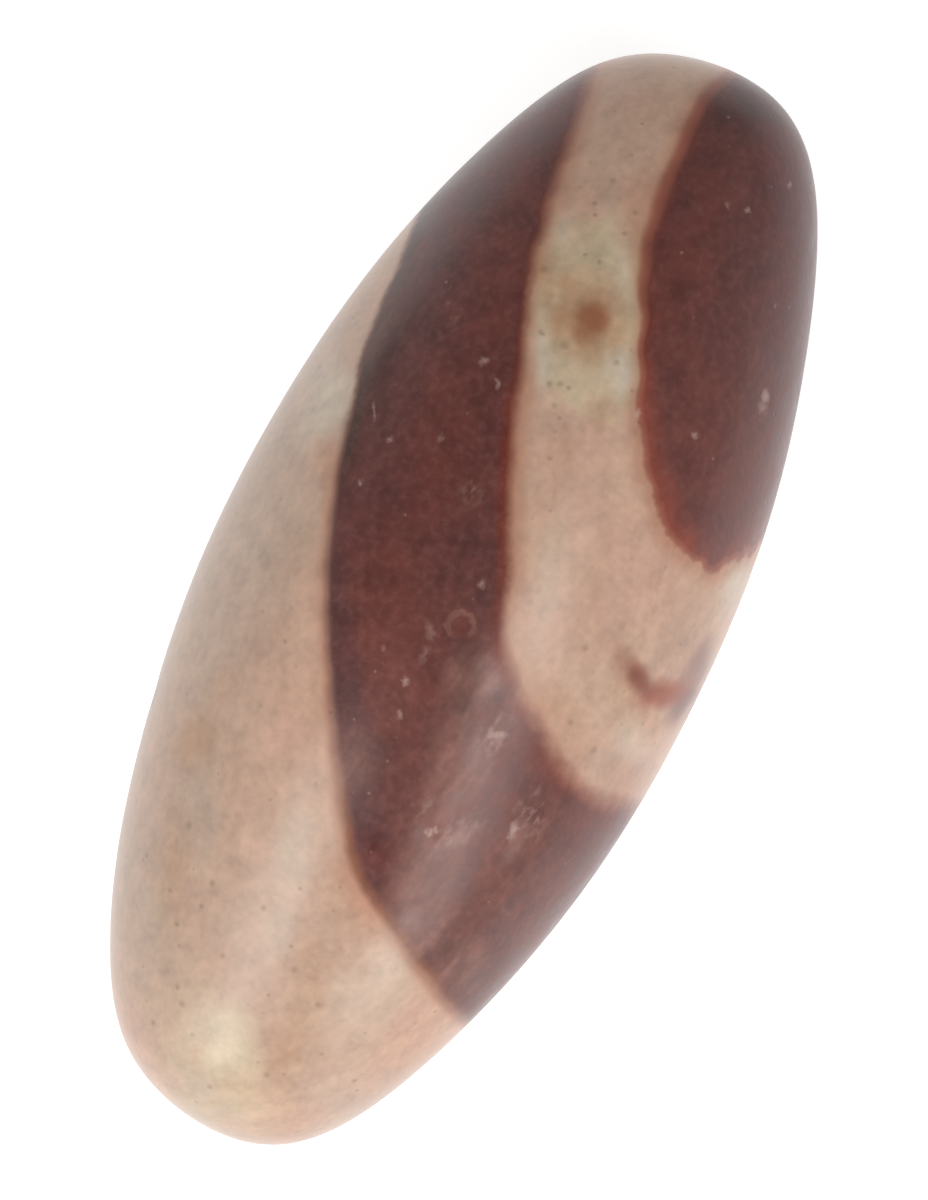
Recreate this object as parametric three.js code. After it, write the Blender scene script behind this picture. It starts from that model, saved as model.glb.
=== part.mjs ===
// A lingam stone: one long, egg-ended river stone, ground and tumbled smooth, lying on its side.
// It is a single solid. X runs along the stone, Y across it and Z up. Units are millimetres.
// The origin is on the surface that the stone lies on, under the middle of the stone.
import * as THREE from "three";

// Driving dimensions.
const LENGTH = 75; // tip to tip
const WIDTH = 32.4; // across the belly
const HEIGHT = 29.8; // belly thickness, before the resting flat is worn off
const FLAT_DEPTH = 0.25; // how much is worn off the underside, which leaves the flat it rests on

// Form of the outline. 0 everywhere would make a plain ellipsoid.
const WAIST = 0.017; // how much slimmer the shoulders are than an ellipsoid's
const BLUNTNESS = 0.31; // how much fuller the two ends are
const TIP_LEAN = 0.68; // how far both tips lean towards -Y
const CROWN_SHIFT = 0.35; // how far the +X end rides higher than the -X end

// Broad swells and hollows that hand grinding leaves: depth in millimetres, the direction
// across the stone in which each one waves, its number of half waves, and its phase.
const SWELLS = [
  { depth: 0.035, across: new THREE.Vector3(1.0, 0.25, 0.1), halfWaves: 3, phase: 0.6 },
  { depth: 0.04, across: new THREE.Vector3(-0.45, 0.8, 0.4), halfWaves: 2, phase: 2.1 },
  { depth: 0.03, across: new THREE.Vector3(0.3, -0.55, 0.9), halfWaves: 3, phase: 4.0 },
];

// Grid cells of the starting box, along X, Y and Z.
const CELLS = { x: 34, y: 16, z: 16 };

// The unit direction that a point of the box from -1 to 1 stands for. The tangents even out
// the cells, which would otherwise crowd towards the box's corners.
function directionOf(point) {
  const even = (value) => Math.tan((value * Math.PI) / 4);
  return new THREE.Vector3(even(point.x), even(point.y), even(point.z)).normalize();
}

// The height of all swells together in a direction from the stone's centre.
function swellHeight(direction) {
  return SWELLS.reduce((sum, { depth, across, halfWaves, phase }) => {
    const along = direction.dot(across);
    return sum + depth * Math.sin(along * halfWaves * Math.PI + phase);
  }, 0);
}

// The surface point in a direction: an ellipsoid whose girth is changed along its length,
// whose middle line bends a little, and whose skin rises and sinks by the swells.
function surfacePoint(direction) {
  const along = direction.x;
  const girth = 1 - WAIST * along ** 2 + BLUNTNESS * along ** 8;
  const swell = swellHeight(direction);
  return new THREE.Vector3(
    (LENGTH / 2) * along,
    ((WIDTH / 2) * girth + swell) * direction.y - TIP_LEAN * along ** 16,
    ((HEIGHT / 2) * girth + swell) * direction.z + CROWN_SHIFT * along * (1 - along ** 2),
  );
}

// The stone's skin: a box grid drawn onto the surface, with its underside worn to one plane.
function stoneGeometry() {
  const geometry = new THREE.BoxGeometry(2, 2, 2, CELLS.x, CELLS.y, CELLS.z);
  const position = geometry.getAttribute("position");
  const point = new THREE.Vector3();
  for (let i = 0; i < position.count; i++) {
    point.copy(surfacePoint(directionOf(point.fromBufferAttribute(position, i))));
    position.setXYZ(i, point.x, point.y, Math.max(point.z, FLAT_DEPTH - HEIGHT / 2));
  }
  geometry.computeBoundingBox();
  const { min, max } = geometry.boundingBox;
  geometry.translate(-(min.x + max.x) / 2, -(min.y + max.y) / 2, -min.z);
  geometry.computeVertexNormals();
  return geometry;
}

const bandedStone = new THREE.MeshStandardMaterial({
  color: new THREE.Color(0.62, 0.47, 0.39),
  roughness: 0.42,
  metalness: 0,
});

const stone = new THREE.Mesh(stoneGeometry(), bandedStone);
stone.name = "stone";

const lingam = new THREE.Group();
lingam.add(stone);

export default lingam;
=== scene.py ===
"""A banded river stone, ground and polished into a long egg shape, lying on a plain pale floor.

The stone is one piece. Its skin is a formula on a grid, the edges of its dark bands are curves
that reach down through the stone as sheets, and its finish is built from shader nodes.
Lengths are in millimetres where a name or comment doesn't say otherwise; Blender's are in metres.
"""

import math
from collections import namedtuple

import bpy
import numpy as np
from mathutils import Matrix, Vector


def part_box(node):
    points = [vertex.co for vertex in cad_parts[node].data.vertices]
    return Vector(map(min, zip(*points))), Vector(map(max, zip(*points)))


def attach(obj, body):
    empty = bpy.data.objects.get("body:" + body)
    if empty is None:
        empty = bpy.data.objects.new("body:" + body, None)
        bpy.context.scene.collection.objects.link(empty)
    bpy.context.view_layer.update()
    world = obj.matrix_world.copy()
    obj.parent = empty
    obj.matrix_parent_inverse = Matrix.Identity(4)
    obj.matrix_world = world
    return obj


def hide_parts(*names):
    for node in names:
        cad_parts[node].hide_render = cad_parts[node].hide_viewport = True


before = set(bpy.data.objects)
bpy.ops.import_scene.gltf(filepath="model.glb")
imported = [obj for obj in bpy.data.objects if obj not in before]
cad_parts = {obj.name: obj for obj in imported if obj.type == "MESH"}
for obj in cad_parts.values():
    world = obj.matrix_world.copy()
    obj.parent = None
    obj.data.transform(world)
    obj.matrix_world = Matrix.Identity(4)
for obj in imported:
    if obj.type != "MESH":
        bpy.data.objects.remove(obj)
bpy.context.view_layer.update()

bl_info = {
    "name": "Banded Lingam Stone",
    "version": (1, 0, 0),
    "blender": (4, 5, 0),
    "location": "3D View > Sidebar > Lingam",
    "description": "Makes a polished, banded river stone and the plain studio that it lies in",
    "category": "Add Mesh",
}

MM = 0.001

# ---------------------------------------------------------------- the stone's form

LENGTH, WIDTH, HEIGHT = 75, 32.4, 29.8
FLAT_DEPTH = 0.25  # worn off the underside
WAIST = 0.017  # how much slimmer the shoulders are than an ellipsoid's
BLUNTNESS = 0.31  # how much fuller the two ends are
TIP_LEAN = 0.8  # how far both tips lean towards -Y
CROWN_SHIFT = 0.35  # how far the +X end rides higher than the -X end
FLANK_SWELL = 0.2  # how far the +Y flank swells out near the -X end
FLANK_PLACE, FLANK_REACH = -0.7, 0.2  # where along the stone, from -1 to 1, and how widely

Swell = namedtuple("Swell", "depth across half_waves phase")
SWELLS = [
    Swell(0.035, (1.0, 0.25, 0.1), 3, 0.6),
    Swell(0.04, (-0.45, 0.8, 0.4), 2, 2.1),
    Swell(0.03, (0.3, -0.55, 0.9), 3, 4.0),
]

UNEVEN = 0.0025  # fine ripples that hand polishing left
SIDE_SHARES = (0.87, 0.8, 0.8)  # the grid's sides, measured on the skin, over the stone's sizes

# Chips and hollows: where, how wide and how deep.
Dent = namedtuple("Dent", "x y reach depth")
DENTS = [
    Dent(-1.3, -0.8, 0.7, 0.05),
    Dent(-14.2, 14.9, 0.8, 0.12),
    Dent(-11.2, -10.3, 0.9, 0.04),
    Dent(-13.9, -4.6, 0.6, 0.04),
    Dent(19.3, -11.4, 0.5, 0.05),
    Dent(16.0, -5.6, 0.5, 0.04),
]

# ---------------------------------------------------------------- the bands

# Each edge is a curve through points on the top, seen from above. The dark side is on its left.
EYE_EDGE = [
    (36.8, -0.2), (34.85, 0.4), (32.55, 0.45), (29.05, 0.3), (25.2, -0.27), (22.6, -1.0), (20.7, -2.0),
    (18.45, -2.9), (16.95, -3.7), (15.4, -4.3), (13.95, -5.2), (11.85, -6.7), (10.45, -8.15),
    (9.05, -9.4), (8.6, -11.05), (8.5, -12.1), (8.2, -12.85), (8.65, -13.3), (9.4, -13.8),
    (10.6, -14.8), (12.2, -15.6),
]
BAND_INNER_EDGE = [
    (-7.1, -15.3), (-7.5, -13.2), (-7.35, -11.75), (-6.75, -10.2), (-6.05, -9.0), (-5.15, -7.85),
    (-4.4, -6.4), (-3.75, -5.6), (-2.85, -4.75), (-2.0, -4.0), (-1.3, -3.35), (-0.6, -2.9),
    (1.5, -2.2), (3.3, -1.4), (6.7, 0.3), (9.7, 1.5), (12.05, 2.45), (13.75, 2.95), (16.6, 4.05),
    (19.65, 5.2), (22.9, 5.85), (26.1, 6.45), (29.35, 6.9), (32.7, 7.5), (34.3, 7.6),
]
BAND_OUTER_EDGE = [
    (19.4, 13.3), (15.75, 12.8), (12.25, 12.6), (10.5, 12.3), (7.45, 11.55), (4.35, 10.7), (1.9, 9.9),
    (-1.7, 8.5), (-4.5, 7.1), (-7.3, 5.6), (-10.0, 4.1), (-12.6, 2.3), (-15.4, 0.65), (-17.85, -1.15),
    (-19.15, -2.95), (-20.15, -4.8), (-21.1, -6.6), (-22.0, -8.1), (-22.9, -9.8), (-24.1, -12.2),
]
# How far each sheet has moved by the time it reaches the underside, along X and Y.
EYE_LEAN = (5.0, -6.5)
BAND_INNER_LEAN = (3.5, -3.0)
BAND_OUTER_LEAN = (-2.5, 1.5)
RUN_ON = 40  # how far each edge goes straight on past its ends, which takes it off the stone
EDGE_WAVER = 0.06  # the slow part of how an edge wanders
PATCH_DRIFT = 0.16  # how far ripples move a patch, for each millimetre of its half width

# Soft clouds and spots of one finish: middle, half sizes along and across, the turn of the long
# one from +X in degrees, how soft the rim is from 0 to 1, how much of it shows, and whether it
# is on the top (1) or the underside (-1).
Patch = namedtuple("Patch", "x y along across turn soft amount face", defaults=(1,))
PATCHES = {
    "blush": [
        Patch(-20, -7.5, 12, 6.0, 8, 0.9, 0.35),
        Patch(-15, 5.5, 9, 3.5, 25, 0.9, 0.5),
        Patch(-1.5, -14.2, 3.5, 1.4, 0, 0.9, 0.6),
        Patch(28.5, 2.0, 4.0, 1.6, 10, 0.9, 0.6),
        Patch(-17.7, 2.2, 1.8, 1.4, 0, 0.9, 0.6),
        Patch(-24.4, -4.8, 2.4, 1.2, 0, 0.9, 0.7),
        Patch(-12, 3, 10, 8, 30, 0.8, 0.7, -1),
    ],
    # Grey: partly the stone's own greyer tone, partly painted shade that darkens the -X end, the +Y
    # flank and a stretch beside the lower highlight.
    "grey_and_shade": [
        Patch(-2, 15.2, 26, 5.0, 6, 0.9, 0.75),
        Patch(-25, 10.0, 9.0, 3.2, 30, 0.9, 0.75),
        Patch(-8, 11.0, 12, 2.4, 22, 0.9, 0.4),
        Patch(-19.6, 9.0, 6, 2.0, 22, 0.9, 0.8),
        Patch(-35.5, 0.6, 3, 3, 0, 0.9, 0.9),
        Patch(-36.0, -3.2, 1.8, 2.0, 0, 0.9, 0.9),
        Patch(-6.0, -13.2, 1.3, 2.6, 0, 0.9, 0.9),
        Patch(-34, -7, 7, 7, 0, 0.9, 0.6),
        Patch(-27, 2, 12, 12, 0, 0.9, 0.4),
        Patch(-1, -10, 7, 4.5, 30, 0.9, 0.2),
        Patch(20, 2, 12, 6, 10, 0.9, 0.6, -1),
    ],
    "olive": [
        Patch(18.1, 0.9, 5.3, 4.9, 27, 0.12, 1.0),
        Patch(21.3, 2.5, 3.3, 5.0, 36, 0.5, 1.0),
        Patch(-33.0, 0.6, 4.6, 3.0, 50, 0.8, 0.45),
        Patch(6, 4, 5, 3.5, 60, 0.4, 0.7, -1),
    ],
    # Tan: mostly brown staining; the patches near (2.8, -7.2) and (-23.2, 8.6) are painted shade,
    # beside the highlight and on the +Y flank.
    "tan": [
        Patch(18.7, 0.9, 2.6, 2.3, 27, 0.5, 0.8),
        Patch(17.6, 2.1, 1.4, 1.2, 27, 0.8, 0.95),
        Patch(20.1, 4.3, 2.6, 0.9, 27, 0.8, 0.7),
        Patch(2.8, -7.2, 4.0, 1.0, 20, 0.8, 0.3),
        Patch(-3.4, -7.3, 2.4, 1.3, 58, 0.95, 0.5),
        Patch(-3.9, -7.0, 1.3, 0.6, 58, 0.9, 0.9),
        Patch(-20.2, -2.3, 2.4, 1.4, 58, 0.9, 0.35),
        Patch(-1.1, -12.6, 2.2, 1.4, 60, 0.9, 0.45),
        Patch(7.6, -12.6, 1.2, 0.8, 0, 0.9, 0.25),
        Patch(18.3, -1.5, 1.4, 0.8, 10, 0.8, 0.75),
        Patch(20.1, 2.6, 1.0, 1.0, 0, 0.8, 0.85),
        Patch(10.4, -1.2, 1.0, 0.8, 0, 0.9, 0.35),
        Patch(-1.6, -14.4, 1.4, 0.8, -20, 0.9, 0.35),
        Patch(-15.4, 11.1, 1.8, 1.2, 0, 0.9, 0.7),
        Patch(-9.4, 5.0, 2.6, 0.7, 0, 0.9, 0.3),
        Patch(-32.7, 1.6, 0.7, 0.6, 0, 0.9, 0.4),
        Patch(-23.2, 8.6, 3.6, 1.2, 20, 0.9, 0.45),
        Patch(-12.0, 10.8, 1.6, 0.9, 0, 0.8, 0.3),
        Patch(-15.5, 12.0, 1.6, 0.8, 0, 0.8, 0.3),
        Patch(-24.2, -1.1, 1.8, 0.8, 0, 0.8, 0.35),
        Patch(-27.5, 3.0, 1.8, 0.9, 0, 0.8, 0.3),
        Patch(-26.0, -2.4, 3.2, 1.3, 0, 1.0, 0.3),
        Patch(-29.6, -2.7, 2.8, 1.2, 15, 1.0, 0.4),
        Patch(-33.5, -1.0, 1.6, 0.7, 60, 1.0, 0.3),
        Patch(-34.4, 0.6, 1.2, 0.8, 0, 0.8, 0.4),
        Patch(-25, -3, 6, 2, -20, 0.8, 0.6, -1),
    ],
    "rust_spot": [
        Patch(18.5, 0.45, 1.05, 1.2, 27, 0.5, 0.95),
        Patch(17.9, 0.85, 0.7, 0.7, 0, 0.7, 0.8),
        Patch(19.8, 0.2, 0.9, 0.9, 27, 0.8, 0.2),
        Patch(-30.9, -2.5, 1.1, 0.7, 0, 1.0, 0.2),
        Patch(4.5, 3.2, 1.3, 1.0, 0, 0.6, 0.7, -1),
    ],
    "cream": [
        Patch(-31.6, 0.6, 2.4, 1.5, 20, 0.6, 0.8),
        Patch(-32.5, -0.7, 1.5, 1.0, 0, 0.8, 0.55),
        Patch(-34.6, -2.4, 1.8, 1.3, 60, 0.8, 0.45),
        Patch(-31.6, 3.0, 2.4, 1.0, 0, 0.9, 0.35),
        Patch(-30, 4, 4, 2.5, 20, 0.8, 0.7, -1),
    ],
    # Chalk: partly whitish stone; the patches near (3.6, -3.9), (-18.3, 2.3), (-23.3, 1.0), (-23.2,
    # -6.2) and (-25.2, -4.7) are painted highlights where the windows reflect.
    "chalk_and_highlight": [
        Patch(8.4, -14.8, 1.8, 0.8, 10, 0.8, 0.75),
        Patch(3.6, -3.9, 3.6, 0.8, 15, 0.8, 0.3),
        Patch(-3.6, -13.4, 1.3, 0.9, 35, 0.9, 0.5),
        Patch(-23.2, -6.2, 5, 1.4, 8, 0.9, 0.35),
        Patch(-25.2, -4.7, 1.8, 1.1, 0, 0.8, 0.35),
        Patch(-18.3, 2.3, 3.2, 1.0, 20, 0.8, 0.4),
        Patch(-23.3, 1.0, 1.8, 0.9, 10, 0.8, 0.35),
        Patch(6.6, 12.5, 3.2, 1.5, 20, 0.8, 0.9),
        Patch(15.0, 2.4, 1.9, 0.8, 27, 0.6, 0.8),
        Patch(16.6, -2.6, 1.3, 0.9, 27, 0.6, 0.85),
        Patch(22.9, 4.9, 1.3, 0.9, 0, 0.8, 0.45),
        Patch(22.6, 0.4, 2.0, 0.7, 27, 0.8, 0.4),
        Patch(-34.8, 0.7, 0.9, 0.7, 0, 0.8, 0.5),
    ],
    "rosy": [
        Patch(-6.0, -10.5, 3.2, 1.8, -75, 0.9, 0.4),
        Patch(-3.8, -6.8, 1.6, 0.9, 58, 0.95, 0.6),
        Patch(-19.6, -2.6, 2.6, 0.7, 58, 0.9, 0.7),
        Patch(25.9, 1.2, 2.4, 0.9, 15, 0.9, 0.6),
        Patch(-6.2, -14.2, 2.4, 1.4, 90, 0.9, 0.7),
        Patch(13.7, -2.3, 1.1, 0.9, 27, 0.5, 0.4),
        Patch(3.9, 11.7, 1.3, 1.0, 20, 0.9, 0.6),
        Patch(24.5, 4.4, 2.0, 0.9, 20, 0.9, 0.35),
        Patch(-26.8, -9.4, 3.6, 1.6, -20, 0.9, 0.35),
        Patch(-35.0, -4.6, 2.2, 2.4, 0, 0.9, 0.45),
    ],
    "flesh": [
        Patch(-0.1, -13.7, 1.7, 0.75, -50, 0.7, 0.95),
        Patch(0.3, -11.5, 2.0, 0.8, 60, 0.9, 0.35),
    ],
    "streak": [
        Patch(0.15, -11.9, 1.3, 0.6, 60, 0.7, 0.95),
        Patch(0.8, -10.4, 1.0, 0.5, 60, 0.9, 0.3),
    ],
    "dusk": [
        Patch(0.4, -15.3, 1.5, 0.9, -10, 0.7, 0.9),
        Patch(2.1, -15.1, 2.3, 0.9, 5, 0.8, 0.7),
        Patch(3.0, -13.0, 5, 1.6, 0, 0.8, 0.8, -1),
    ],
    "ember": [
        Patch(-5, 2, 8, 2.6, 30, 0.8, 0.9),
        Patch(8, 6, 9, 2.4, 22, 0.9, 0.5),
        Patch(-6.6, -7.8, 2.8, 1.0, 66, 0.8, 0.8),
        Patch(-13.0, -5.5, 6.0, 3.6, 10, 0.9, 0.8),
        Patch(14.0, -10.0, 8, 4.5, 15, 0.9, 0.7),
        Patch(24, -3.5, 7, 2.4, 0, 0.9, 0.5),
        Patch(-14.4, -13.4, 3.5, 1.4, -10, 0.9, 0.7),
        Patch(-9.0, -13.9, 2.6, 1.2, 0, 0.9, 0.6),
        Patch(17, 6.2, 6, 1.8, 22, 0.9, 0.5),
        Patch(5, 10, 12, 4, -20, 0.9, 0.8, -1),
    ],
    "plum": [
        Patch(-3, 7.4, 7, 1.0, 33, 0.9, 0.6),
        Patch(14, 10.5, 9, 2.0, 12, 0.9, 0.6),
        Patch(-13, 0.9, 4, 1.2, 30, 0.9, 0.7),
        Patch(26, -8.5, 6, 3, 15, 0.9, 0.4),
    ],
    # Garnet: darker, redder patches, partly the stone's colour; on the eye's far flank they are
    # painted shade that dulls its reflection.
    "garnet_and_shade": [
        Patch(33.8, -5.2, 3.0, 1.6, 30, 0.9, 0.8),
        Patch(28.6, -8.2, 6.5, 1.6, 26, 0.9, 0.7),
        Patch(-16.5, -2.2, 1.5, 0.7, 55, 0.9, 0.8),
    ],
    # Deep: the darkest band colour; the patches near (11.6, 11.2) and (34.9, -2.3) are painted shade
    # that dulls the flanks' reflection.
    "deep": [
        Patch(11.6, 11.2, 3.4, 1.1, 12, 0.9, 1.0),
        Patch(34.9, -2.3, 2.4, 1.7, -20, 0.9, 0.75),
        Patch(12.8, 3.9, 0.9, 0.5, 20, 0.9, 0.4),
    ],
    # Veil: the whitest of the haze, partly chalky residue and partly a painted highlight where the
    # right window reflects on the lower band.
    "veil_and_highlight": [
        Patch(-3.9, -3.8, 1.4, 0.7, 5, 0.8, 0.4),
        Patch(-8.0, -5.2, 1.6, 0.8, 15, 0.9, 0.2),
        Patch(-14.1, -5.9, 1.8, 0.45, -32, 0.8, 0.35),
        Patch(-19.2, -5.9, 0.6, 0.45, 0, 0.9, 0.4),
        Patch(-11.9, -9.8, 1.2, 0.5, 0, 0.8, 0.25),
    ],
    # Bloom: chalky haze on the bands, and along the lower band a painted highlight that follows the
    # right window's reflection.
    "bloom_and_highlight": [
        Patch(-9.3, -4.5, 6.0, 1.5, 12, 0.8, 0.6),
        Patch(-16.3, -5.8, 6.5, 1.7, 8, 0.8, 0.65),
        Patch(-16.0, -10.0, 8, 4, 15, 0.9, 0.2),
        Patch(-12.5, -9.6, 3.0, 1.6, 0, 0.9, 0.3),
        Patch(-20.5, -9.8, 2.5, 1.6, 0, 0.9, 0.6),
        Patch(-8.5, 0.8, 2.6, 1.2, 10, 0.9, 0.1),
        Patch(-19.9, -6.5, 2.2, 1.9, -30, 0.9, 0.85),
        Patch(-5.9, -5.7, 1.6, 1.0, -30, 0.9, 0.5),
        Patch(-3.9, -4.8, 1.2, 0.8, 60, 0.9, 0.85),
        Patch(-5.2, -2.1, 1.6, 0.9, 10, 0.9, 0.65),
        Patch(-12.0, 1.3, 1.8, 0.9, 30, 0.9, 0.5),
        Patch(10, 14, 8, 3, 0, 0.9, 0.4, -1),
    ],
}

# Small flaws. Each is drawn in full detail on its own: where it is and how wide.
PITS = [
    (-30.5, 4.4, 0.22), (-32.4, 5.6, 0.2), (-22.8, 6.0, 0.2), (-23.3, 10.5, 0.16),
    (-26.2, 7.0, 0.18), (-29.6, 5.2, 0.18), (-34.5, 0.6, 0.18), (-32.2, -2.5, 0.22),
    (-30.1, -7.3, 0.2), (-25.3, -1.0, 0.22), (-26.5, -3.2, 0.2), (-26.3, 3.3, 0.18),
    (-24.3, 6.0, 0.16), (-24.6, 8.2, 0.2), (-20.3, 8.9, 0.26), (-22.5, 2.5, 0.2),
    (0.5, -8.2, 0.22), (-4.9, -11.5, 0.26), (9.9, -0.8, 0.16), (-4.0, -9.2, 0.2),
    (20.1, 4.5, 0.24), (25.3, 3.7, 0.18), (25.8, 1.1, 0.2), (27.2, 3.3, 0.18), (22.0, 1.8, 0.16),
    (22.0, 2.6, 0.14), (16.6, 2.9, 0.2), (16.5, 1.3, 0.26), (16.9, -1.9, 0.18), (14.0, 1.0, 0.2),
    (14.3, 0.5, 0.2), (14.2, 0.1, 0.16), (12.8, 0.2, 0.18), (24.3, 1.1, 0.14),
]
CHIPS = [
    Patch(19.5, -11.3, 0.32, 0.24, 30, 0.9, 0.55),
    Patch(18.9, -11.45, 0.34, 0.3, 0, 0.9, 0.3),
    Patch(14.6, -4.5, 0.24, 0.16, 30, 0.8, 0.5),
    Patch(32.1, -6.6, 0.18, 0.14, 0, 0.9, 0.4),
    Patch(29.4, -5.1, 0.18, 0.16, 0, 0.9, 0.5),
    Patch(28.8, -3.9, 0.2, 0.1, 30, 0.9, 0.3),
    Patch(24.7, -2.5, 0.14, 0.12, 0, 0.9, 0.35),
    Patch(24.9, -9.1, 0.14, 0.12, 0, 0.9, 0.3),
    Patch(15.0, -8.4, 0.2, 0.16, 40, 0.8, 0.4),
    Patch(13.5, 5.3, 0.3, 0.14, -20, 0.9, 0.45),
    Patch(12.4, 4.0, 0.3, 0.12, 27, 0.9, 0.4),
    Patch(7.8, 10.0, 0.5, 0.1, 27, 0.9, 0.4),
    Patch(6.5, 8.3, 0.18, 0.14, 0, 0.9, 0.4),
    Patch(7.9, 5.5, 0.22, 0.16, 0, 0.9, 0.25),
    Patch(3.3, 8.8, 0.18, 0.16, 0, 0.9, 0.5),
    Patch(1.25, -0.7, 0.22, 0.2, 0, 0.9, 0.4),
    Patch(-2.9, 0.9, 0.5, 0.2, 35, 0.9, 0.25),
    Patch(-4.3, 0.7, 0.45, 0.2, 0, 0.9, 0.2),
    Patch(-6.2, 0.8, 0.24, 0.2, 0, 0.8, 0.6),
    Patch(-8.2, 0.3, 0.24, 0.16, 30, 0.8, 0.4),
    Patch(-4.9, 2.9, 0.18, 0.16, 0, 0.8, 0.25),
    Patch(-6.6, -5.6, 0.5, 0.2, -60, 0.9, 0.45),
    Patch(-14.0, -4.5, 0.26, 0.2, 0, 0.8, 0.6),
    Patch(-13.6, -4.9, 0.18, 0.14, 0, 0.8, 0.5),
    Patch(-11.6, -9.2, 0.5, 0.22, 10, 0.9, 0.7),
    Patch(-24.5, 10.2, 0.5, 0.16, 30, 0.8, 0.56),
]
WISPS = [
    Patch(-6.9, -5.4, 1.6, 0.9, 0, 0.9, 0.6),
    Patch(-13.5, -6.0, 2.0, 0.7, -26, 0.9, 0.6),
    Patch(-10.2, -9.7, 1.5, 0.8, 30, 0.9, 0.7),
    Patch(-12.6, -3.8, 1.4, 0.7, -40, 0.9, 0.4),
    Patch(5.9, 2.4, 0.8, 0.6, 0, 0.9, 0.4),
    Patch(15.5, 8.6, 1.8, 0.7, 20, 0.9, 0.25),
]
NICK = Patch(-14.2, 14.9, 0.9, 0.35, 10, 0.8, 0.85)
SCAR = Patch(-1.6, -0.7, 0.85, 0.8, 207, 0.4, 0.5)


# ---------------------------------------------------------------- the stone's mesh


def box_skin(cells):
    """The skin of a box of cells, as whole-number grid points.

    Each of the six sides is a grid of two parameters. Gives the welded points, the corners of
    every cell wound so that it faces outwards, and the place of each of those corners on a
    square sheet, from 0 to 1, on which the four long sides lie above each other and the two
    ends beside them.
    """
    points, corners, sheet = [], [], []
    count = 0
    long_rows = end_rows = 0
    gap = 3
    for axis in range(3):
        u_axis, v_axis = (axis + 1) % 3, (axis + 2) % 3
        along = 1 if axis == 0 else 0
        across = 3 - axis - along
        for side in (0, cells[axis]):
            u, v = np.meshgrid(
                np.arange(cells[u_axis] + 1), np.arange(cells[v_axis] + 1), indexing="ij"
            )
            grid = np.empty(u.shape + (3,), int)
            grid[..., axis], grid[..., u_axis], grid[..., v_axis] = side, u, v
            index = count + np.arange(u.size).reshape(u.shape)
            cell = np.stack([index[:-1, :-1], index[1:, :-1], index[1:, 1:], index[:-1, 1:]], -1)
            corners.append((cell if side else cell[..., ::-1]).reshape(-1, 4))
            points.append(grid.reshape(-1, 3))
            if axis == 0:
                shift = (cells[0] + 2 * gap, gap + end_rows * (cells[across] + gap))
                end_rows += 1
            else:
                shift = (gap, gap + long_rows * (cells[across] + gap))
                long_rows += 1
            sheet.append(grid.reshape(-1, 3)[:, [along, across]] + shift)
            count += u.size
    points, corners, sheet = map(np.concatenate, (points, corners, sheet))
    keys = points @ np.array([1, 10**4, 10**8])
    _, first, weld = np.unique(keys, return_index=True, return_inverse=True)
    sheet = sheet[corners] / (sheet.max() + gap)
    return points[first], weld.reshape(-1)[corners], sheet


def stone_surface(points, cells):
    """The stone's skin in millimetres, over the grid points of a box's skin.

    A grid point gives a direction: each coordinate, from -1 to 1, becomes the tangent of 45
    degrees times itself, which evens out the cells, and the three are scaled to length 1.
    The surface is an ellipsoid in that direction, with its girth changed along its length by a
    small square term and an eighth-power term, low sine swells on top, both tips leaning with
    the 24th power, a bell-shaped swell on one flank, a crown that rides higher at one end, and a
    flat worn off the bottom.
    """
    even = np.tan((2 * points / np.array(cells) - 1) * math.pi / 4)
    direction = even / np.linalg.norm(even, axis=1, keepdims=True)
    along = direction[:, 0]
    girth = 1 - WAIST * along**2 + BLUNTNESS * along**8
    swell = sum(
        one.depth * np.sin(direction @ np.array(one.across) * one.half_waves * math.pi + one.phase)
        for one in SWELLS
    )
    bell = np.exp(-(((along - FLANK_PLACE) / FLANK_REACH) ** 2))
    flank = FLANK_SWELL * bell * np.maximum(direction[:, 1], 0)
    y = (WIDTH / 2 * girth + swell) * direction[:, 1] - TIP_LEAN * along**24 + flank
    z = (HEIGHT / 2 * girth + swell) * direction[:, 2] + CROWN_SHIFT * along * (1 - along**2)
    z = np.maximum(z, FLAT_DEPTH - HEIGHT / 2)
    return np.stack([LENGTH / 2 * along, y, z], axis=1)


def fitted(skin, low, high):
    """The skin stretched along each axis so that its box is the one from low to high."""
    least, most = skin.min(0), skin.max(0)
    return low + (skin - least) / (most - least) * (high - low)


def on_skin(skin, x, y, face=1):
    """The skin's point above a place seen from above, or under it if face is -1."""
    miss = np.hypot(skin[:, 0] - x, skin[:, 1] - y)
    miss[face * (skin[:, 2] - skin[:, 2].mean()) < 0] = np.inf
    return skin[np.argmin(miss)]


def ripple(places, wavelength, seed, waves=16):
    """Smooth noise, from about -1 to 1, at each place.

    It is the sum of sine waves of about one length, in random directions and at random phases,
    over the square root of their number.
    """
    chance = np.random.default_rng(seed)
    direction = chance.normal(size=(waves, 3))
    direction /= np.linalg.norm(direction, axis=1, keepdims=True)
    turns = direction / (wavelength * chance.uniform(0.7, 1.4, (waves, 1)))
    phase = chance.uniform(0, 2 * math.pi, waves)
    return np.sin(2 * math.pi * places @ turns.T + phase).sum(1) / math.sqrt(waves)


def fade(values, low, high):
    """0 below low, 1 above high, and the smooth step 3t^2 - 2t^3 between. Falls if high < low."""
    t = np.clip((values - low) / (high - low), 0, 1)
    return t * t * (3 - 2 * t)


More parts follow.
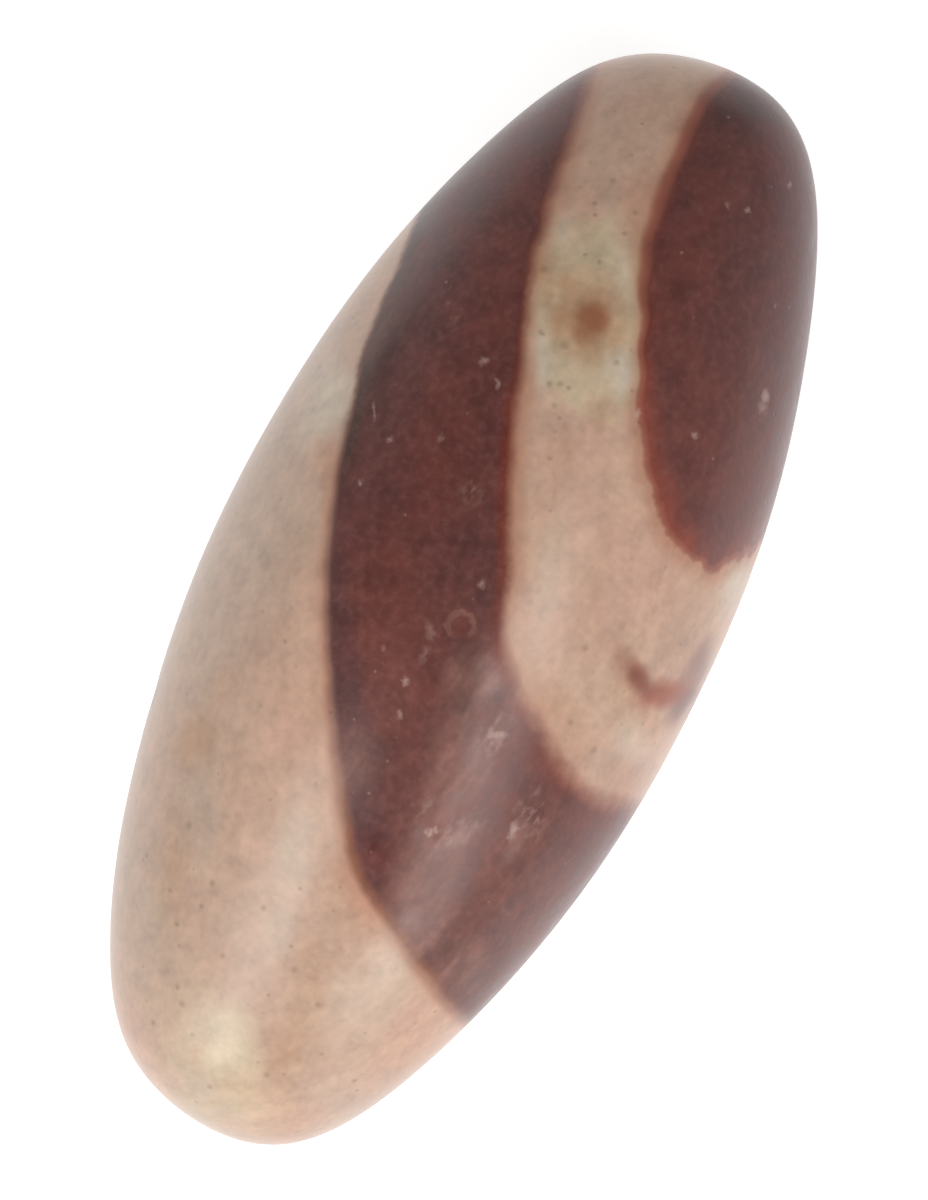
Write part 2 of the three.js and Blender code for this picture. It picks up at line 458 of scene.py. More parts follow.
def dented(skin):
    """The skin with its chips pressed in, and hand-ground unevenness all over.

    Each point moves inwards by the sum, over the dents, of the dent's depth times a bell curve
    of the distance from the dent's middle, and by two fine ripples.
    """
    inward = -(skin - skin.mean(0)) / np.array([LENGTH, WIDTH, HEIGHT]) ** 2
    inward /= np.linalg.norm(inward, axis=1, keepdims=True)
    depth = np.zeros(len(skin))
    for dent in DENTS:
        away = np.linalg.norm(skin - on_skin(skin, dent.x, dent.y), axis=1)
        depth += dent.depth * np.exp(-((away / dent.reach) ** 2))
    depth += UNEVEN * (2 + ripple(skin, 1.6, 31) + ripple(skin, 3.1, 32))
    return skin + inward * np.maximum(depth, 0)[:, None]


def curve_through(points, steps=8):
    """A smooth curve through points, which runs on straight past both ends.

    Between two points it is the cubic whose slope at each of them is half the step between the
    point before and the point after.
    """
    path = np.array(points, float)
    path = np.vstack([2 * path[0] - path[1], path, 2 * path[-1] - path[-2]])
    before, start, end, after = path[:-3, None], path[1:-2, None], path[2:-1, None], path[3:, None]
    t = np.linspace(0, 1, steps, endpoint=False)[None, :, None]
    curve = (
        2 * start
        + (end - before) * t
        + (2 * before - 5 * start + 4 * end - after) * t**2
        + (3 * start - before - 3 * end + after) * t**3
    ) / 2
    curve = np.vstack([curve.reshape(-1, 2), path[-2]])
    first, last = curve[0] - curve[1], curve[-1] - curve[-2]
    head = curve[0] + first / np.linalg.norm(first) * RUN_ON
    tail = curve[-1] + last / np.linalg.norm(last) * RUN_ON
    return np.vstack([head, curve, tail])


def distance_left_of(curve, x, y):
    """The distance in the plane to the nearest stretch of a curve, positive on its left."""
    nearest = np.full(x.shape, np.inf)
    signed = np.zeros(x.shape)
    for (x0, y0), (x1, y1) in zip(curve[:-1], curve[1:]):
        step_x, step_y = x1 - x0, y1 - y0
        t = ((x - x0) * step_x + (y - y0) * step_y) / (step_x**2 + step_y**2)
        t = np.clip(t, 0, 1)
        away = np.hypot(x - x0 - t * step_x, y - y0 - t * step_y)
        side = np.sign(step_x * (y - y0) - step_y * (x - x0))
        closer = away < nearest
        nearest = np.where(closer, away, nearest)
        signed = np.where(closer, away * side, signed)
    return signed


def sheet_distance(skin, edge, lean):
    """How far each point lies to the left of a sheet that hangs from an edge.

    The sheet is upright in the upper half of the stone. In the lower half it moves sideways by
    its lean times the square of the depth, which is 1 at the bottom.
    """
    middle = skin[:, 2].max() / 2
    depth = np.clip((middle - skin[:, 2]) / middle, 0, 1) ** 2
    curve = curve_through(edge)
    return distance_left_of(curve, skin[:, 0] - lean[0] * depth, skin[:, 1] - lean[1] * depth)


def patch_mask(skin, patches):
    """How much of one finish shows at each point of the skin, from 0 to 1.

    The skin is first moved about a little by ripples. A patch is an ellipsoid, deep along Z;
    the distance from its middle, in half sizes, fades from 1 to 0 around 1, and the largest
    value among the patches counts.
    """
    drift = np.stack(
        [ripple(skin, 4.5, seed) + 0.5 * ripple(skin, 1.6, seed + 3) for seed in range(3)], axis=1
    )
    mask = np.zeros(len(skin))
    for patch in patches:
        moved = skin + PATCH_DRIFT * min(patch.across, 4) * drift
        offset = moved - on_skin(skin, patch.x, patch.y, patch.face)
        turn = math.radians(patch.turn)
        along = offset[:, 0] * math.cos(turn) + offset[:, 1] * math.sin(turn)
        across = offset[:, 1] * math.cos(turn) - offset[:, 0] * math.sin(turn)
        half = max(patch.along, patch.across)
        deep = offset[:, 2] / min(4 * half, 2 * half + 4)
        away = np.sqrt((along / patch.along) ** 2 + (across / patch.across) ** 2 + deep**2)
        share = patch.amount * fade(away, 1 + patch.soft, 1 - patch.soft)
        mask = np.maximum(mask, share)
    return mask


def stone_fields(skin):
    """Everything that the finish reads from the mesh: a number for each point, by name.

    Distances from the edges of the bands are in millimetres, with the slow part of their waver.
    """
    waver = EDGE_WAVER * ripple(skin, 3.4, 11)
    fields = {
        "inside_eye": sheet_distance(skin, EYE_EDGE, EYE_LEAN) + waver,
        "inside_inner_edge": sheet_distance(skin, BAND_INNER_EDGE, BAND_INNER_LEAN) + waver,
        "inside_outer_edge": sheet_distance(skin, BAND_OUTER_EDGE, BAND_OUTER_LEAN) + waver,
        "mottle": (
            0.75 * ripple(skin, 1.0, 21) + 0.9 * ripple(skin, 2.0, 22) + 0.4 * ripple(skin, 3.8, 25)
        ),
        "cloud": 0.5 + 0.4 * ripple(skin, 9, 23) + 0.2 * ripple(skin, 4, 24),
    }
    for finish, patches in PATCHES.items():
        fields[finish] = patch_mask(skin, patches)
    return fields


def add_stone_mesh(name, cell):
    """Makes the stone's mesh object, and gives it with its skin's points in millimetres."""
    low, high = (np.array(corner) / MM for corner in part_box("stone"))
    sides = np.array([LENGTH, WIDTH, HEIGHT]) * SIDE_SHARES
    cells = [2 * round(side / cell / 2) for side in sides]
    points, corners, sheet = box_skin(cells)
    skin = fitted(stone_surface(points, cells), low, high)
    mesh = bpy.data.meshes.new(name)
    mesh.from_pydata((dented(skin) * MM).tolist(), [], corners.tolist())
    mesh.shade_smooth()
    for field, values in stone_fields(skin).items():
        layer = mesh.attributes.new(field, "FLOAT", "POINT")
        layer.data.foreach_set("value", values.astype(np.float32))
    layer = mesh.uv_layers.new(name="OFBake")
    layer.uv.foreach_set("vector", sheet.astype(np.float32).ravel())
    stone = bpy.data.objects.new(name, mesh)
    bpy.context.scene.collection.objects.link(stone)
    return stone, skin


# ---------------------------------------------------------------- shader nodes as arithmetic


class Wire:
    """An output of a shader node. Arithmetic with wires and numbers adds the Math nodes."""

    def __init__(self, tree, socket=None):
        self.tree = tree
        self.socket = socket

    def node(self, kind, settings=None, inputs=None, output=0):
        """Adds a node, sets its settings and then its sockets, and gives one of its outputs."""
        made = self.tree.nodes.new(kind)
        for name, value in (settings or {}).items():
            setattr(made, name, value)
        for key, value in (inputs or {}).items():
            socket = made.inputs[key]
            if isinstance(value, Wire):
                self.tree.links.new(value.socket, socket)
            else:
                socket.default_value = (*value, 1) if socket.type == "RGBA" else value
        return Wire(self.tree, made.outputs[output] if made.outputs else None)

    def maths(self, operation, *values):
        return self.node("ShaderNodeMath", {"operation": operation}, dict(enumerate(values)))

    def __add__(self, other):
        return self.maths("ADD", self, other)

    def __radd__(self, other):
        return self.maths("ADD", other, self)

    def __sub__(self, other):
        return self.maths("SUBTRACT", self, other)

    def __rsub__(self, other):
        return self.maths("SUBTRACT", other, self)

    def __mul__(self, other):
        return self.maths("MULTIPLY", self, other)

    def __rmul__(self, other):
        return self.maths("MULTIPLY", other, self)

    def __truediv__(self, other):
        return self.maths("DIVIDE", self, other)

    def at_least(self, other):
        return self.maths("MAXIMUM", self, other)

    def at_most(self, other):
        return self.maths("MINIMUM", self, other)

    def size(self):
        return self.maths("ABSOLUTE", self)

    def rise(self, low, high):
        """0 below low, 1 above high, and a smooth step between them. Falls if high is lower."""
        inputs = {"Value": self, "From Min": low, "From Max": high}
        return self.node("ShaderNodeMapRange", {"interpolation_type": "SMOOTHSTEP"}, inputs)

    def other(self, output):
        """Another output of the node that this one comes from."""
        return Wire(self.tree, self.socket.node.outputs[output])

    def between(self, first, second):
        """The colour that goes from the first to the second as this goes from 0 to 1."""
        inputs = {0: self, 6: first, 7: second}
        return self.node("ShaderNodeMix", {"data_type": "RGBA"}, inputs, 2)

    def blend(self, other, share):
        """This colour, going over to another as share goes from 0 to 1."""
        return share.between(self, other)

    def scaled(self, factor):
        """This colour or vector times a number."""
        inputs = {0: self, "Scale": factor}
        return self.node("ShaderNodeVectorMath", {"operation": "SCALE"}, inputs)

    def attribute(self, name):
        return self.node("ShaderNodeAttribute", {"attribute_name": name}, output="Fac")

    def noise(self, wavelength, detail=2.0):
        """Noise over this place, from 0 to 1 and about 0.5 in the middle."""
        inputs = {"Vector": self, "Scale": 1 / wavelength, "Detail": detail}
        return self.node("ShaderNodeTexNoise", inputs=inputs)

    def mapped(self, middle, turn, scale):
        """This place, seen from a middle, turned about Z by degrees and divided by a scale."""
        inputs = {
            "Vector": self,
            "Location": tuple(middle),
            "Rotation": (0, 0, math.radians(turn)),
            "Scale": scale,
        }
        return self.node("ShaderNodeMapping", {"vector_type": "TEXTURE"}, inputs)

    def shaken(self, wavelength, reach):
        """This place, moved about by up to about reach."""
        noise = self.noise(wavelength).other("Color")
        middle = (0.5, 0.5, 0.5)
        centred = self.node("ShaderNodeVectorMath", {"operation": "SUBTRACT"}, {0: noise, 1: middle})
        move = centred.scaled(3 * reach)
        return self.node("ShaderNodeVectorMath", {"operation": "ADD"}, {0: self, 1: move})

    def length(self):
        settings = {"operation": "LENGTH"}
        return self.node("ShaderNodeVectorMath", settings, {0: self}, output="Value")

    def dots(self, spacing, radius, share):
        """Round dots at random: one in a cube of the spacing, and only this share of them."""
        inputs = {"Vector": self, "Scale": 1 / spacing}
        distance = self.node("ShaderNodeTexVoronoi", inputs=inputs)
        chance = self.node("ShaderNodeSeparateColor", inputs={0: distance.other("Color")})
        kept = chance.maths("LESS_THAN", chance, share)
        soft = distance.rise(radius / spacing, 0.3 * radius / spacing)
        return soft * kept * chance.other(1)


# ---------------------------------------------------------------- the stone's finish

BRUSH_TURN = -9  # the way the stone was rubbed, in degrees from +X
STONE_IOR, STONE_SPECULAR, STONE_ROUGHNESS = 1.42, 0.36, 0.44
COAT_IOR, COAT_ROUGHNESS = 1.4, 0.23
RELIEF = 0.02  # how high the grain stands, and how deep the pits and pores lie

# The wires that the parts of the finish share.
Ground = namedtuple("Ground", "place along across mottle cloud grain ragged")
Edges = namedtuple("Edges", "eye inner outer band eye_mask inner_mask dark")


def inside(place, skin, patch):
    """How far a place is inside an ellipsoid on the skin: 1 in its middle and 0 on its rim."""
    halves = (patch.along, patch.across, 2 * patch.along)
    near = place.mapped(on_skin(skin, patch.x, patch.y), patch.turn, halves)
    return 1 - near.length()


def flecks(place, skin, patches):
    """The largest share, over the patches, of a small spot with a soft rim."""
    share = 0
    for patch in patches:
        spot = inside(place, skin, patch).rise(-patch.soft, 1) * patch.amount
        share = spot.at_least(share)
    return share


def painted(colour, looks, finishes):
    """The colour with the patches of each finish laid over it, in turn."""
    for finish in finishes:
        colour = colour.blend(getattr(looks, finish), colour.attribute(finish))
    return colour


def scarred(colour, looks, place, skin):
    """The colour with a horseshoe-shaped scar on it: a pale rim, open at the foot, and a red pit."""
    centre = on_skin(skin, SCAR.x, SCAR.y)
    near = place.mapped(centre, SCAR.turn, (SCAR.along, SCAR.across, 2 * SCAR.along))
    reach = near.length()
    open_side = near.node("ShaderNodeSeparateXYZ", inputs={0: near}).rise(0.9, 0.4)
    rim = (reach - 1).size().rise(0.34, 0.08) * open_side
    colour = colour.blend(looks.ember, reach.rise(1.2, 0.3) * 0.8)
    return colour.blend(looks.bloom_and_highlight, rim * SCAR.amount)


def ground_wires(tree):
    """The place in millimetres, its two long coordinates, and the noise that all parts use."""
    place = Wire(tree).node("ShaderNodeTexCoord", output="Object").scaled(1 / MM)
    along = place.node("ShaderNodeSeparateXYZ", inputs={0: place})
    return Ground(
        place=place,
        along=along,
        across=along.other("Y"),
        mottle=place.attribute("mottle"),
        cloud=place.attribute("cloud"),
        grain=place.noise(0.5, detail=3),
        ragged=place.shaken(0.4, 0.2),
    )


def dark_inside(distance, width):
    """How dark a place is, from 0 to 1, by its distance inside an edge of a soft width."""
    return (distance / width).rise(-1, 0.9)


def edge_wires(ground):
    """How far inside each edge a place is, with a fine waver, and how dark that makes it."""
    place, along = ground.place, ground.along
    waver = (ground.grain - 0.5) * 0.45
    torn = place.noise(1.1, detail=3) - 0.5
    eye = place.attribute("inside_eye") + waver * 0.6 + torn * along.rise(15, 10) * 0.8
    inner = place.attribute("inside_inner_edge") + waver + torn * along.rise(-1, -4) * 0.8
    outer = place.attribute("inside_outer_edge") + waver * 0.7

    # The width over which an edge goes from pale to dark changes along the stone.
    eye_mask = dark_inside(eye, along.rise(19, 25) * 0.3 + 0.38)
    broad = along.rise(0, -5) * 0.42 + along.rise(-6, -7) * 0.15 + along.rise(18, 24) * 0.12
    inner_mask = dark_inside(inner, broad + 0.46)
    crisp = along.rise(-13, -17) * along.rise(-23, -20) * 0.3
    blurred = along.rise(12, 4) * 0.15 + along.rise(-6, -10) * 0.15 + 0.3
    outer_mask = dark_inside(outer, blurred - crisp)
    dark = eye_mask.at_least(inner_mask * outer_mask)
    return Edges(eye, inner, outer, inner.at_most(outer), eye_mask, inner_mask, dark)


def pale_colour(looks, ground, edges, pits):
    """The pale stone: clouds and patches, some of them painted highlights and painted shade, stained
    next to the bands, with fine pits.
    """
    along = ground.along
    pale = ground.cloud.between(looks.pale, looks.pale_pink)
    pale = painted(pale, looks, ("blush", "grey_and_shade", "olive", "tan", "rust_spot", "cream", "chalk_and_highlight"))
    reach = along.rise(-1, 4) * 0.6 + 0.9 - along.rise(14, 18) * 0.5 + along.rise(21, 24) * 0.5
    stained = (along.rise(-1, 4) * 0.4 + 0.35) * (1 - along.rise(14, 20) * 0.1)
    past_outer = edges.outer.rise(0.1, -0.1)
    stained_outside = along.rise(9, 2) * 0.6 - along.rise(-12, -15) * 0.05
    stained = stained * (1 - past_outer) + past_outer * stained_outside
    near_dark = (edges.eye.at_least(edges.band) / reach).rise(-1, -0.1)
    pale = pale.blend(looks.fringe, near_dark * stained)
    pale = painted(pale, looks, ("rosy", "dusk", "flesh", "streak"))
    return pale.blend(looks.pit, pits * 0.45)


def hazed_and_highlighted(maroon, looks, ground):
    """The dark stone with its chalky haze and a painted highlight along the lower band, and how much
    of them shows.
    """
    place = ground.place
    brushed = place.mapped((0, 0, 0), BRUSH_TURN, (4, 1, 4)).noise(1).rise(0.35, 0.65)
    streaked = brushed * 0.7 + 0.65
    bloom_and_highlight = place.attribute("bloom_and_highlight") * streaked
    maroon = maroon.blend(looks.bloom_and_highlight, bloom_and_highlight)
    maroon = maroon.blend(looks.veil_and_highlight, place.attribute("veil_and_highlight") * streaked)
    return maroon, bloom_and_highlight


def rimmed(maroon, looks, ground, edges):
    """The dark stone with the rusty rims inside the edges of the eye and of the main band."""
    along, across, inner, outer = ground.along, ground.across, edges.inner, edges.outer
    eye_rim = (edges.eye / (along.rise(20, 12) * 0.9 + 1.2)).rise(1.0, -0.35)
    fainter = across.rise(-10.5, -13) * 0.4 + along.rise(19, 24) * 0.3
    eye_rim = eye_rim * edges.eye_mask * (1 - fainter)
    maroon = maroon.blend(along.rise(15, 21).between(looks.rust, looks.rust_dark), eye_rim)
    upper, lower = along.rise(8, 16), along.rise(2, -3)
    inner_rim = (inner / (1.1 - upper * 0.4)).rise(1.0, 0.2) * edges.inner_mask
    maroon = maroon.blend(looks.rust_dark, inner_rim * (0.9 - upper * 0.3 - lower * 0.5))
    maroon = maroon.blend(looks.rust, inner.rise(1.8, 0.2) * lower * 0.2)
    outer_rim = outer.rise(0.9, 0.1) * along.rise(-12, -15) * along.rise(-25, -21)
    return maroon.blend(looks.rust_spot, outer_rim * 0.7)


def flecked(maroon, looks, ground, skin, bloom_and_highlight):
    """The dark stone with pale wisps, specks and dust on it. Faint pale hairs also streak all the
    haze, as painted glints in its highlight.
    """
    place = ground.place
    wisps = flecks(ground.ragged, skin, WISPS).at_least(bloom_and_highlight * 0.15)
    hairs = place.mapped((0, 0, 0), BRUSH_TURN, (1.6, 0.9, 1)).noise(0.5, detail=4).rise(0.46, 0.7)
    maroon = maroon.blend(looks.speck, wisps * hairs * 0.8)
    specks = place.dots(1.4, 0.15, 0.5) * 0.4
    dust = ground.grain.rise(0.4, 0.75) * 0.05
    return maroon.blend(looks.speck, specks.at_least(dust))


def maroon_colour(looks, ground, edges, skin):
    """The dark stone: redder and greyer clouds, patches that include painted shade, then haze with a
    painted highlight, rusty rims and pale flecks.
    """
    redder = (ground.cloud * 0.4 + ground.mottle * 0.18 + 0.3).rise(0, 1)
    maroon = redder.between(looks.maroon, looks.red_brown)
    maroon = painted(maroon, looks, ("ember", "plum", "garnet_and_shade", "deep"))
    olive_rim = edges.outer.rise(1.3, 0.5) * ground.along.rise(1, 6)
    maroon = maroon.blend(looks.umber, olive_rim * 0.9)
    maroon, bloom_and_highlight = hazed_and_highlighted(maroon, looks, ground)
    maroon = rimmed(maroon, looks, ground, edges)
    return flecked(maroon, looks, ground, skin, bloom_and_highlight)


def pores(place, skin):
    """How deep in a pore a place is: 1 in its middle, 0 outside every pore."""
    holes = 0
    for x, y, radius in PITS:
        inputs = {0: place, 1: tuple(on_skin(skin, x, y))}
        away = place.node(
            "ShaderNodeVectorMath", {"operation": "DISTANCE"}, inputs, output="Value"
        )
        holes = away.rise(1.7 * radius, 0).at_least(holes)
    return holes


def stone_colour(looks, ground, edges, skin, pits, holes):
    """The whole stone's colour: pale and dark stone, their rusty seam, and single flaws."""
    dark, grain = edges.dark, ground.grain
    pale = pale_colour(looks, ground, edges, pits)
    maroon = maroon_colour(looks, ground, edges, skin)
    rusty = edges.eye.rise(-2, -1) * 1.5 + 0.7 - edges.outer.size().rise(0.8, 0.3) * 0.6
    colour = dark.between(pale, maroon).blend(looks.rust, dark * (1 - dark) * rusty)
    colour = scarred(colour, looks, ground.ragged, skin)
    colour = colour.blend(looks.pit, holes * (grain * 0.9))
    colour = colour.blend(looks.chip, flecks(ground.ragged, skin, CHIPS))
    colour = colour.blend(looks.nick, flecks(ground.place, skin, [NICK]))
    uneven = dark * 0.02 + 0.05
    coarse = dark * 0.06 - edges.eye_mask * 0.16 + 0.32
    return colour.scaled(1 + ground.mottle * uneven + (grain - 0.5) * coarse)


def stone_material(looks, skin):
    """The whole finish: the stone's colour, its pits and pores, and a satin polish."""
    material = bpy.data.materials.new("banded_stone")
    material.use_nodes = True
    tree = material.node_tree
    tree.nodes.clear()
    ground = ground_wires(tree)
    edges = edge_wires(ground)
    pits = ground.place.dots(1.1, 0.2, 0.55)
    holes = pores(ground.place, skin)
    height = (ground.grain - pits - holes) * RELIEF
    bump = ground.place.node("ShaderNodeBump", inputs={"Distance": MM, "Height": height})
    shader = ground.place.node(
        "ShaderNodeBsdfPrincipled",
        inputs={
            "Base Color": stone_colour(looks, ground, edges, skin, pits, holes),
            "Roughness": STONE_ROUGHNESS + ground.mottle * 0.03 + (ground.grain - 0.5) * 0.2,
            "IOR": STONE_IOR,
            "Specular IOR Level": STONE_SPECULAR,
            "Coat Weight": looks.polish,
            "Coat Roughness": COAT_ROUGHNESS,
            "Coat IOR": COAT_IOR,
            "Normal": bump,
        },
    )
    shader.node("ShaderNodeOutputMaterial", inputs={"Surface": shader})
    return material


# ---------------------------------------------------------------- the studio

FLOOR_HALF = 1.5  # metres
FLOOR_GAP = 0.00002  # metres between the floor and the stone, which keeps them from flickering

# The two windows: the directions of the top and the foot from the stone, and how wide each one
# is for every metre that it is away.
Window = namedtuple("Window", "name top foot width")
WINDOWS = [
    Window("window_right", (0.09, -0.40, 0.91), (-0.54, -0.74, 0.40), 0.37),
    Window("window_left", (-0.34, 0.22, 0.91), (-0.91, 0.23, 0.34), 0.45),
]
WINDOW_DISTANCE = 0.6  # metres


def add_window(window, distance, radiance):
    """A soft upright window, seen from the stone between two directions.

    It is a rectangle square to the direction halfway between top and foot, as long as the gap
    between them, and as bright as its radiance says.
    """
    top, foot = Vector(window.top).normalized(), Vector(window.foot).normalized()
    out = (top + foot).normalized()
    side = (top - foot).cross(out).normalized()
    up = out.cross(side)
    light = bpy.data.lights.new(window.name, "AREA")
    light.shape = "RECTANGLE"
    light.size = window.width * distance
    light.size_y = 2 * distance * math.tan(top.angle(foot) / 2)
    light.energy = radiance * math.pi * light.size * light.size_y
    made = bpy.data.objects.new(window.name, light)
    turn = Matrix((side, up, out)).transposed().to_4x4()
    made.matrix_world = Matrix.Translation(out * distance) @ turn
    bpy.context.scene.collection.objects.link(made)


def add_sky(looks):
    """A pale sky that is dimmer overhead than near the horizon, and dimmer towards +X."""
    world = bpy.data.worlds.new("studio_sky")
    world.use_nodes = True
    tree = world.node_tree
    tree.nodes.clear()
    direction = Wire(tree).node("ShaderNodeTexCoord", output="Generated")
    along = direction.node("ShaderNodeSeparateXYZ", inputs={0: direction})
    height = along.other("Z").rise(0.3, 0.9)
    strength = looks.horizon + (looks.zenith - looks.horizon) * height
    strength = strength * (1 - along * looks.tilt)
    lit = direction.node("ShaderNodeBackground", inputs={"Strength": strength})
    direction.node("ShaderNodeOutputWorld", inputs={"Surface": lit})
    bpy.context.scene.world = world


def add_floor(looks):
    """A plain pale floor just under the stone, which glows a little, as a lit table does."""
    signs = ((-1, -1), (1, -1), (1, 1), (-1, 1))
    corners = [(x * FLOOR_HALF, y * FLOOR_HALF, -FLOOR_GAP) for x, y in signs]
    mesh = bpy.data.meshes.new("floor")
    mesh.from_pydata(corners, [], [(0, 1, 2, 3)])
    material = bpy.data.materials.new("pale_floor")
    material.use_nodes = True
    shader = material.node_tree.nodes["Principled BSDF"]
    shader.inputs["Base Color"].default_value = (*looks.floor, 1)
    shader.inputs["Roughness"].default_value = 0.7
    shader.inputs["Emission Color"].default_value = (1, 1, 1, 1)
    shader.inputs["Emission Strength"].default_value = looks.floor_glow
    mesh.materials.append(material)
    floor = bpy.data.objects.new("floor", mesh)
    bpy.context.scene.collection.objects.link(floor)


def add_camera(looks):
    """A camera that looks straight down, turned so that the stone leans to the right."""
    camera = bpy.data.cameras.new("camera")
    camera.lens = looks.lens
    camera.sensor_width = 36
    camera.clip_start = 0.01
    low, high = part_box("stone")
    made = bpy.data.objects.new("camera", camera)
    lean = math.radians(looks.lean)
    right = Vector((math.cos(lean), -math.sin(lean), 0))
    up = Vector((math.sin(lean), math.cos(lean), 0))
    turn = Matrix((right, up, Vector((0, 0, 1)))).transposed().to_4x4()
    middle = Vector(((low.x + high.x) / 2, (low.y + high.y) / 2, (low.z + high.z) / 2))
    eye = middle + right * looks.shift_right - up * looks.shift_up
    eye.z += looks.distance
    made.matrix_world = Matrix.Translation(eye) @ turn
    bpy.context.scene.collection.objects.link(made)
    bpy.context.scene.camera = made


# ---------------------------------------------------------------- the add-on


def shade(red, green, blue):
    """A screen colour, 0 to 255, as the linear values that shaders and lights take."""
    return tuple(((step / 255 + 0.055) / 1.055) ** 2.4 for step in (red, green, blue))


def tint(name, description, red, green, blue):
    """A colour setting, whose default is given as a screen colour."""
    return bpy.props.FloatVectorProperty(
        name=name, description=description, subtype="COLOR", size=3, min=0, max=1,
        default=shade(red, green, blue),
    )


class StoneLooks(bpy.types.PropertyGroup):
    cell: bpy.props.FloatProperty(
        name="Cell size", description="Size of a face of the stone, in millimetres",
        default=0.318, min=0.2, max=3,
    )
    polish: bpy.props.FloatProperty(
        name="Polish", description="How much of the wax-like polish shows", default=0.5,
        min=0, max=1, subtype="FACTOR",
    )
    pale: tint("Pale", "The pale stone", 202, 165, 141)
    pale_pink: tint("Pale pink", "Pinker clouds in the pale stone", 202, 161, 140)
    blush: tint("Blush", "The warmest part of the pale stone", 208, 166, 143)
    # Grey: also used as painted shade on the -X end and the +Y flank.
    grey_and_shade: tint("Grey", "The greyer flank of the pale stone", 184, 163, 146)
    olive: tint("Olive", "Greenish patches", 201, 179, 149)
    # Tan: brown stains, and in two patches painted shade.
    tan: tint("Tan", "Brownish patches", 182, 142, 110)
    rust_spot: tint("Rust spot", "The round rusty spot", 152, 98, 70)
    cream: tint("Cream", "Cream patches near the -X end", 212, 194, 165)
    # Chalk: whitish stone, also used as a painted highlight.
    chalk_and_highlight: tint("Chalk", "Whitish patches", 206, 190, 170)
    rosy: tint("Rosy", "The pale stone where the inner edge is soft", 192, 142, 118)
    fringe: tint("Fringe", "The pale stone next to a band", 180, 126, 100)
    flesh: tint("Flesh", "The pink part of the short streak", 160, 86, 64)
    streak: tint("Streak", "The brown core of the short streak", 132, 72, 54)
    dusk: tint("Dusk", "The purplish tail of the short streak", 124, 82, 77)
    maroon: tint("Maroon", "The dark bands", 92, 53, 50)
    red_brown: tint("Red brown", "The redder clouds in the bands", 100, 53, 47)
    ember: tint("Ember", "The reddest part of the main band", 112, 57, 49)
    plum: tint("Plum", "The greyer edge of the main band", 92, 58, 57)
    umber: tint("Umber", "The olive brown rim on the band's outer edge", 70, 45, 37)
    # Deep: also used as painted shade that dulls reflections on the flanks.
    deep: tint("Deep", "The darkest parts of the bands", 70, 31, 28)
    # Garnet: also used as painted shade on the eye's far flank.
    garnet_and_shade: tint("Garnet", "The far flank of the eye", 92, 36, 32)
    # Veil and bloom: chalky haze, also used as a painted highlight on the lower band.
    veil_and_highlight: tint("Veil", "The whitest of the haze on the bands", 176, 140, 130)
    bloom_and_highlight: tint("Bloom", "The chalky haze on the bands", 138, 94, 82)
    rust: tint("Rust", "The rim of the bands", 144, 66, 48)
    rust_dark: tint("Dark rust", "The inner rim of the main band", 116, 48, 34)
    pit: tint("Pits", "The fine pits", 134, 112, 88)
    speck: tint("Specks", "Pale specks and scratches in the bands", 176, 140, 130)
    chip: tint("Chips", "Small pale chips", 196, 164, 152)
    nick: tint("Nick", "The black nick in the flank", 60, 60, 62)


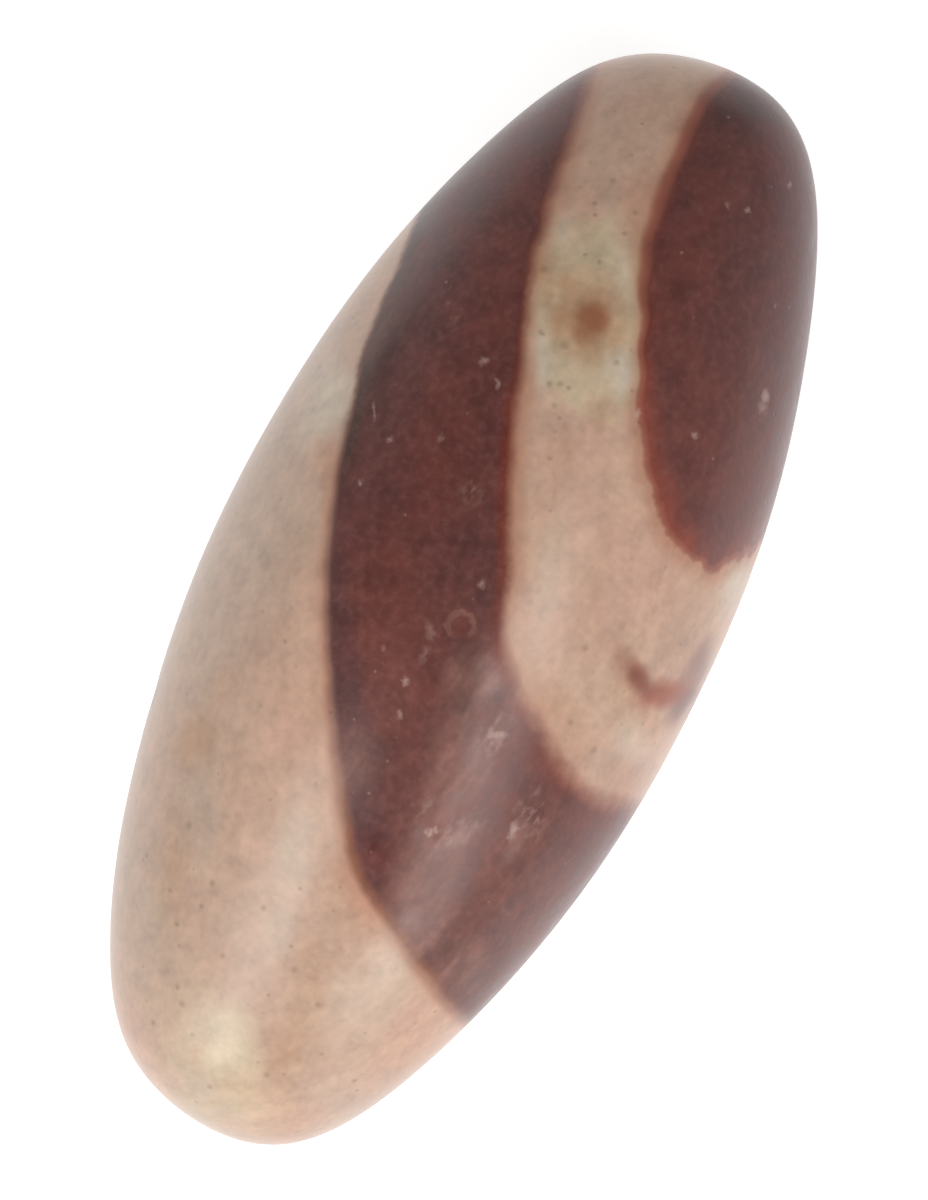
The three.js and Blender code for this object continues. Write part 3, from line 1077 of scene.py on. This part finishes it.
class StudioLooks(bpy.types.PropertyGroup):
    floor: tint("Floor", "Colour of the floor", 190, 190, 190)
    floor_glow: bpy.props.FloatProperty(
        name="Floor glow", description="Light that the floor gives of itself", default=0.75, min=0,
    )
    window: bpy.props.FloatProperty(
        name="Windows", description="Radiance of the two windows", default=4.35, min=0,
    )
    horizon: bpy.props.FloatProperty(
        name="Horizon", description="Radiance of the sky near the horizon", default=0.55, min=0,
    )
    zenith: bpy.props.FloatProperty(
        name="Zenith", description="Radiance of the sky overhead", default=0.15, min=0,
    )
    tilt: bpy.props.FloatProperty(
        name="Tilt", description="How much dimmer the sky is towards +X", default=0.03, min=0,
        max=1,
    )
    lens: bpy.props.FloatProperty(
        name="Lens", description="Focal length in millimetres", default=150, min=20,
    )
    distance: bpy.props.FloatProperty(
        name="Distance", description="From the camera to the stone's middle", default=0.3183,
        min=0.1, unit="LENGTH",
    )
    lean: bpy.props.FloatProperty(
        name="Lean", description="Turn of the stone's long axis from the foot of the view, in degrees",
        default=63.46,
    )
    shift_right: bpy.props.FloatProperty(
        name="Shift right", description="Camera moved right of the stone's middle", default=0,
        unit="LENGTH",
    )
    shift_up: bpy.props.FloatProperty(
        name="Shift up", description="Stone moved up in the view", default=0.00024,
        unit="LENGTH",
    )


class LINGAM_OT_stone(bpy.types.Operator):
    """Make the banded stone"""

    bl_idname = "lingam.stone"
    bl_label = "Stone"

    def execute(self, context):
        looks = context.scene.lingam_stone
        stone, skin = add_stone_mesh("polished_stone", looks.cell)
        stone.data.materials.append(stone_material(looks, skin))
        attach(stone, "root")
        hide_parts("stone")
        return {"FINISHED"}


class LINGAM_OT_studio(bpy.types.Operator):
    """Make the floor, the lights and the camera"""

    bl_idname = "lingam.studio"
    bl_label = "Studio"

    def execute(self, context):
        looks = context.scene.lingam_studio
        context.scene.view_settings.view_transform = "Standard"
        add_camera(looks)
        add_floor(looks)
        add_sky(looks)
        for window in WINDOWS:
            add_window(window, WINDOW_DISTANCE, looks.window)
        return {"FINISHED"}


class LINGAM_PT_panel(bpy.types.Panel):
    bl_label = "Lingam Stone"
    bl_idname = "LINGAM_PT_panel"
    bl_space_type = "VIEW_3D"
    bl_region_type = "UI"
    bl_category = "Lingam"

    def draw(self, context):
        for group, operator in (
            (context.scene.lingam_stone, LINGAM_OT_stone),
            (context.scene.lingam_studio, LINGAM_OT_studio),
        ):
            box = self.layout.box()
            for name in group.__annotations__:
                box.prop(group, name)
            box.operator(operator.bl_idname)


CLASSES = (StoneLooks, StudioLooks, LINGAM_OT_stone, LINGAM_OT_studio, LINGAM_PT_panel)


def register():
    for one in CLASSES:
        bpy.utils.register_class(one)
    bpy.types.Scene.lingam_stone = bpy.props.PointerProperty(type=StoneLooks)
    bpy.types.Scene.lingam_studio = bpy.props.PointerProperty(type=StudioLooks)


def unregister():
    del bpy.types.Scene.lingam_stone
    del bpy.types.Scene.lingam_studio
    for one in reversed(CLASSES):
        bpy.utils.unregister_class(one)


def main():
    register()
    bpy.ops.lingam.studio()
    bpy.ops.lingam.stone()


if __name__ == "__main__":
    main()
